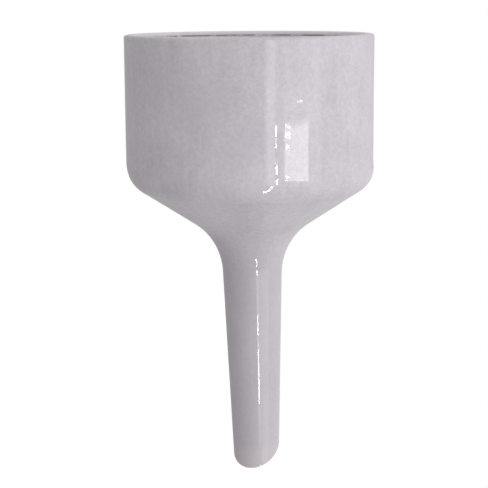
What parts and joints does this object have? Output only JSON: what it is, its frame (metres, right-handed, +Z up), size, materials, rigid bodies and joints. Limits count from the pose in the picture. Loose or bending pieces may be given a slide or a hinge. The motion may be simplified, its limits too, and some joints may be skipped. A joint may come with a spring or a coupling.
{
  "type": "buchner funnel",
  "caption": "Glazed porcelain vacuum filter funnel: cylindrical bowl over a fixed perforated plate, shallow cone and tapered stem with a slanted end.",
  "frame": {"origin": "on the bowl's axis, level with the lowest point of the stem", "axes": "+Z up along the bowl's axis from the stem to the rim; -Y is the front, which the long side of the stem's slanted end faces, turned 22.5 degrees towards -X; the lower funnel leans 1 degree towards +X"},
  "size_m": [0.1, 0.1, 0.1791],
  "materials": {
    "porcelain": "bare fired porcelain body, matt and slightly rough",
    "slip": "fired slip, matt",
    "glaze": "glossy feldspathic glaze, faint mauve grey with a few dark iron specks"
  },
  "bodies": {
    "root": {"bowl": "porcelain", "filter_plate": "porcelain", "cone": "porcelain", "stem": "porcelain", "plate_lute": "slip", "shoulder_lute": "slip", "stem_lute": "slip", "bowl_outer_glaze": "glaze", "funnel_outer_glaze": "glaze", "bowl_inner_glaze": "glaze", "plate_glaze": "glaze", "throat_glaze": "glaze"}
  },
  "joints": []
}
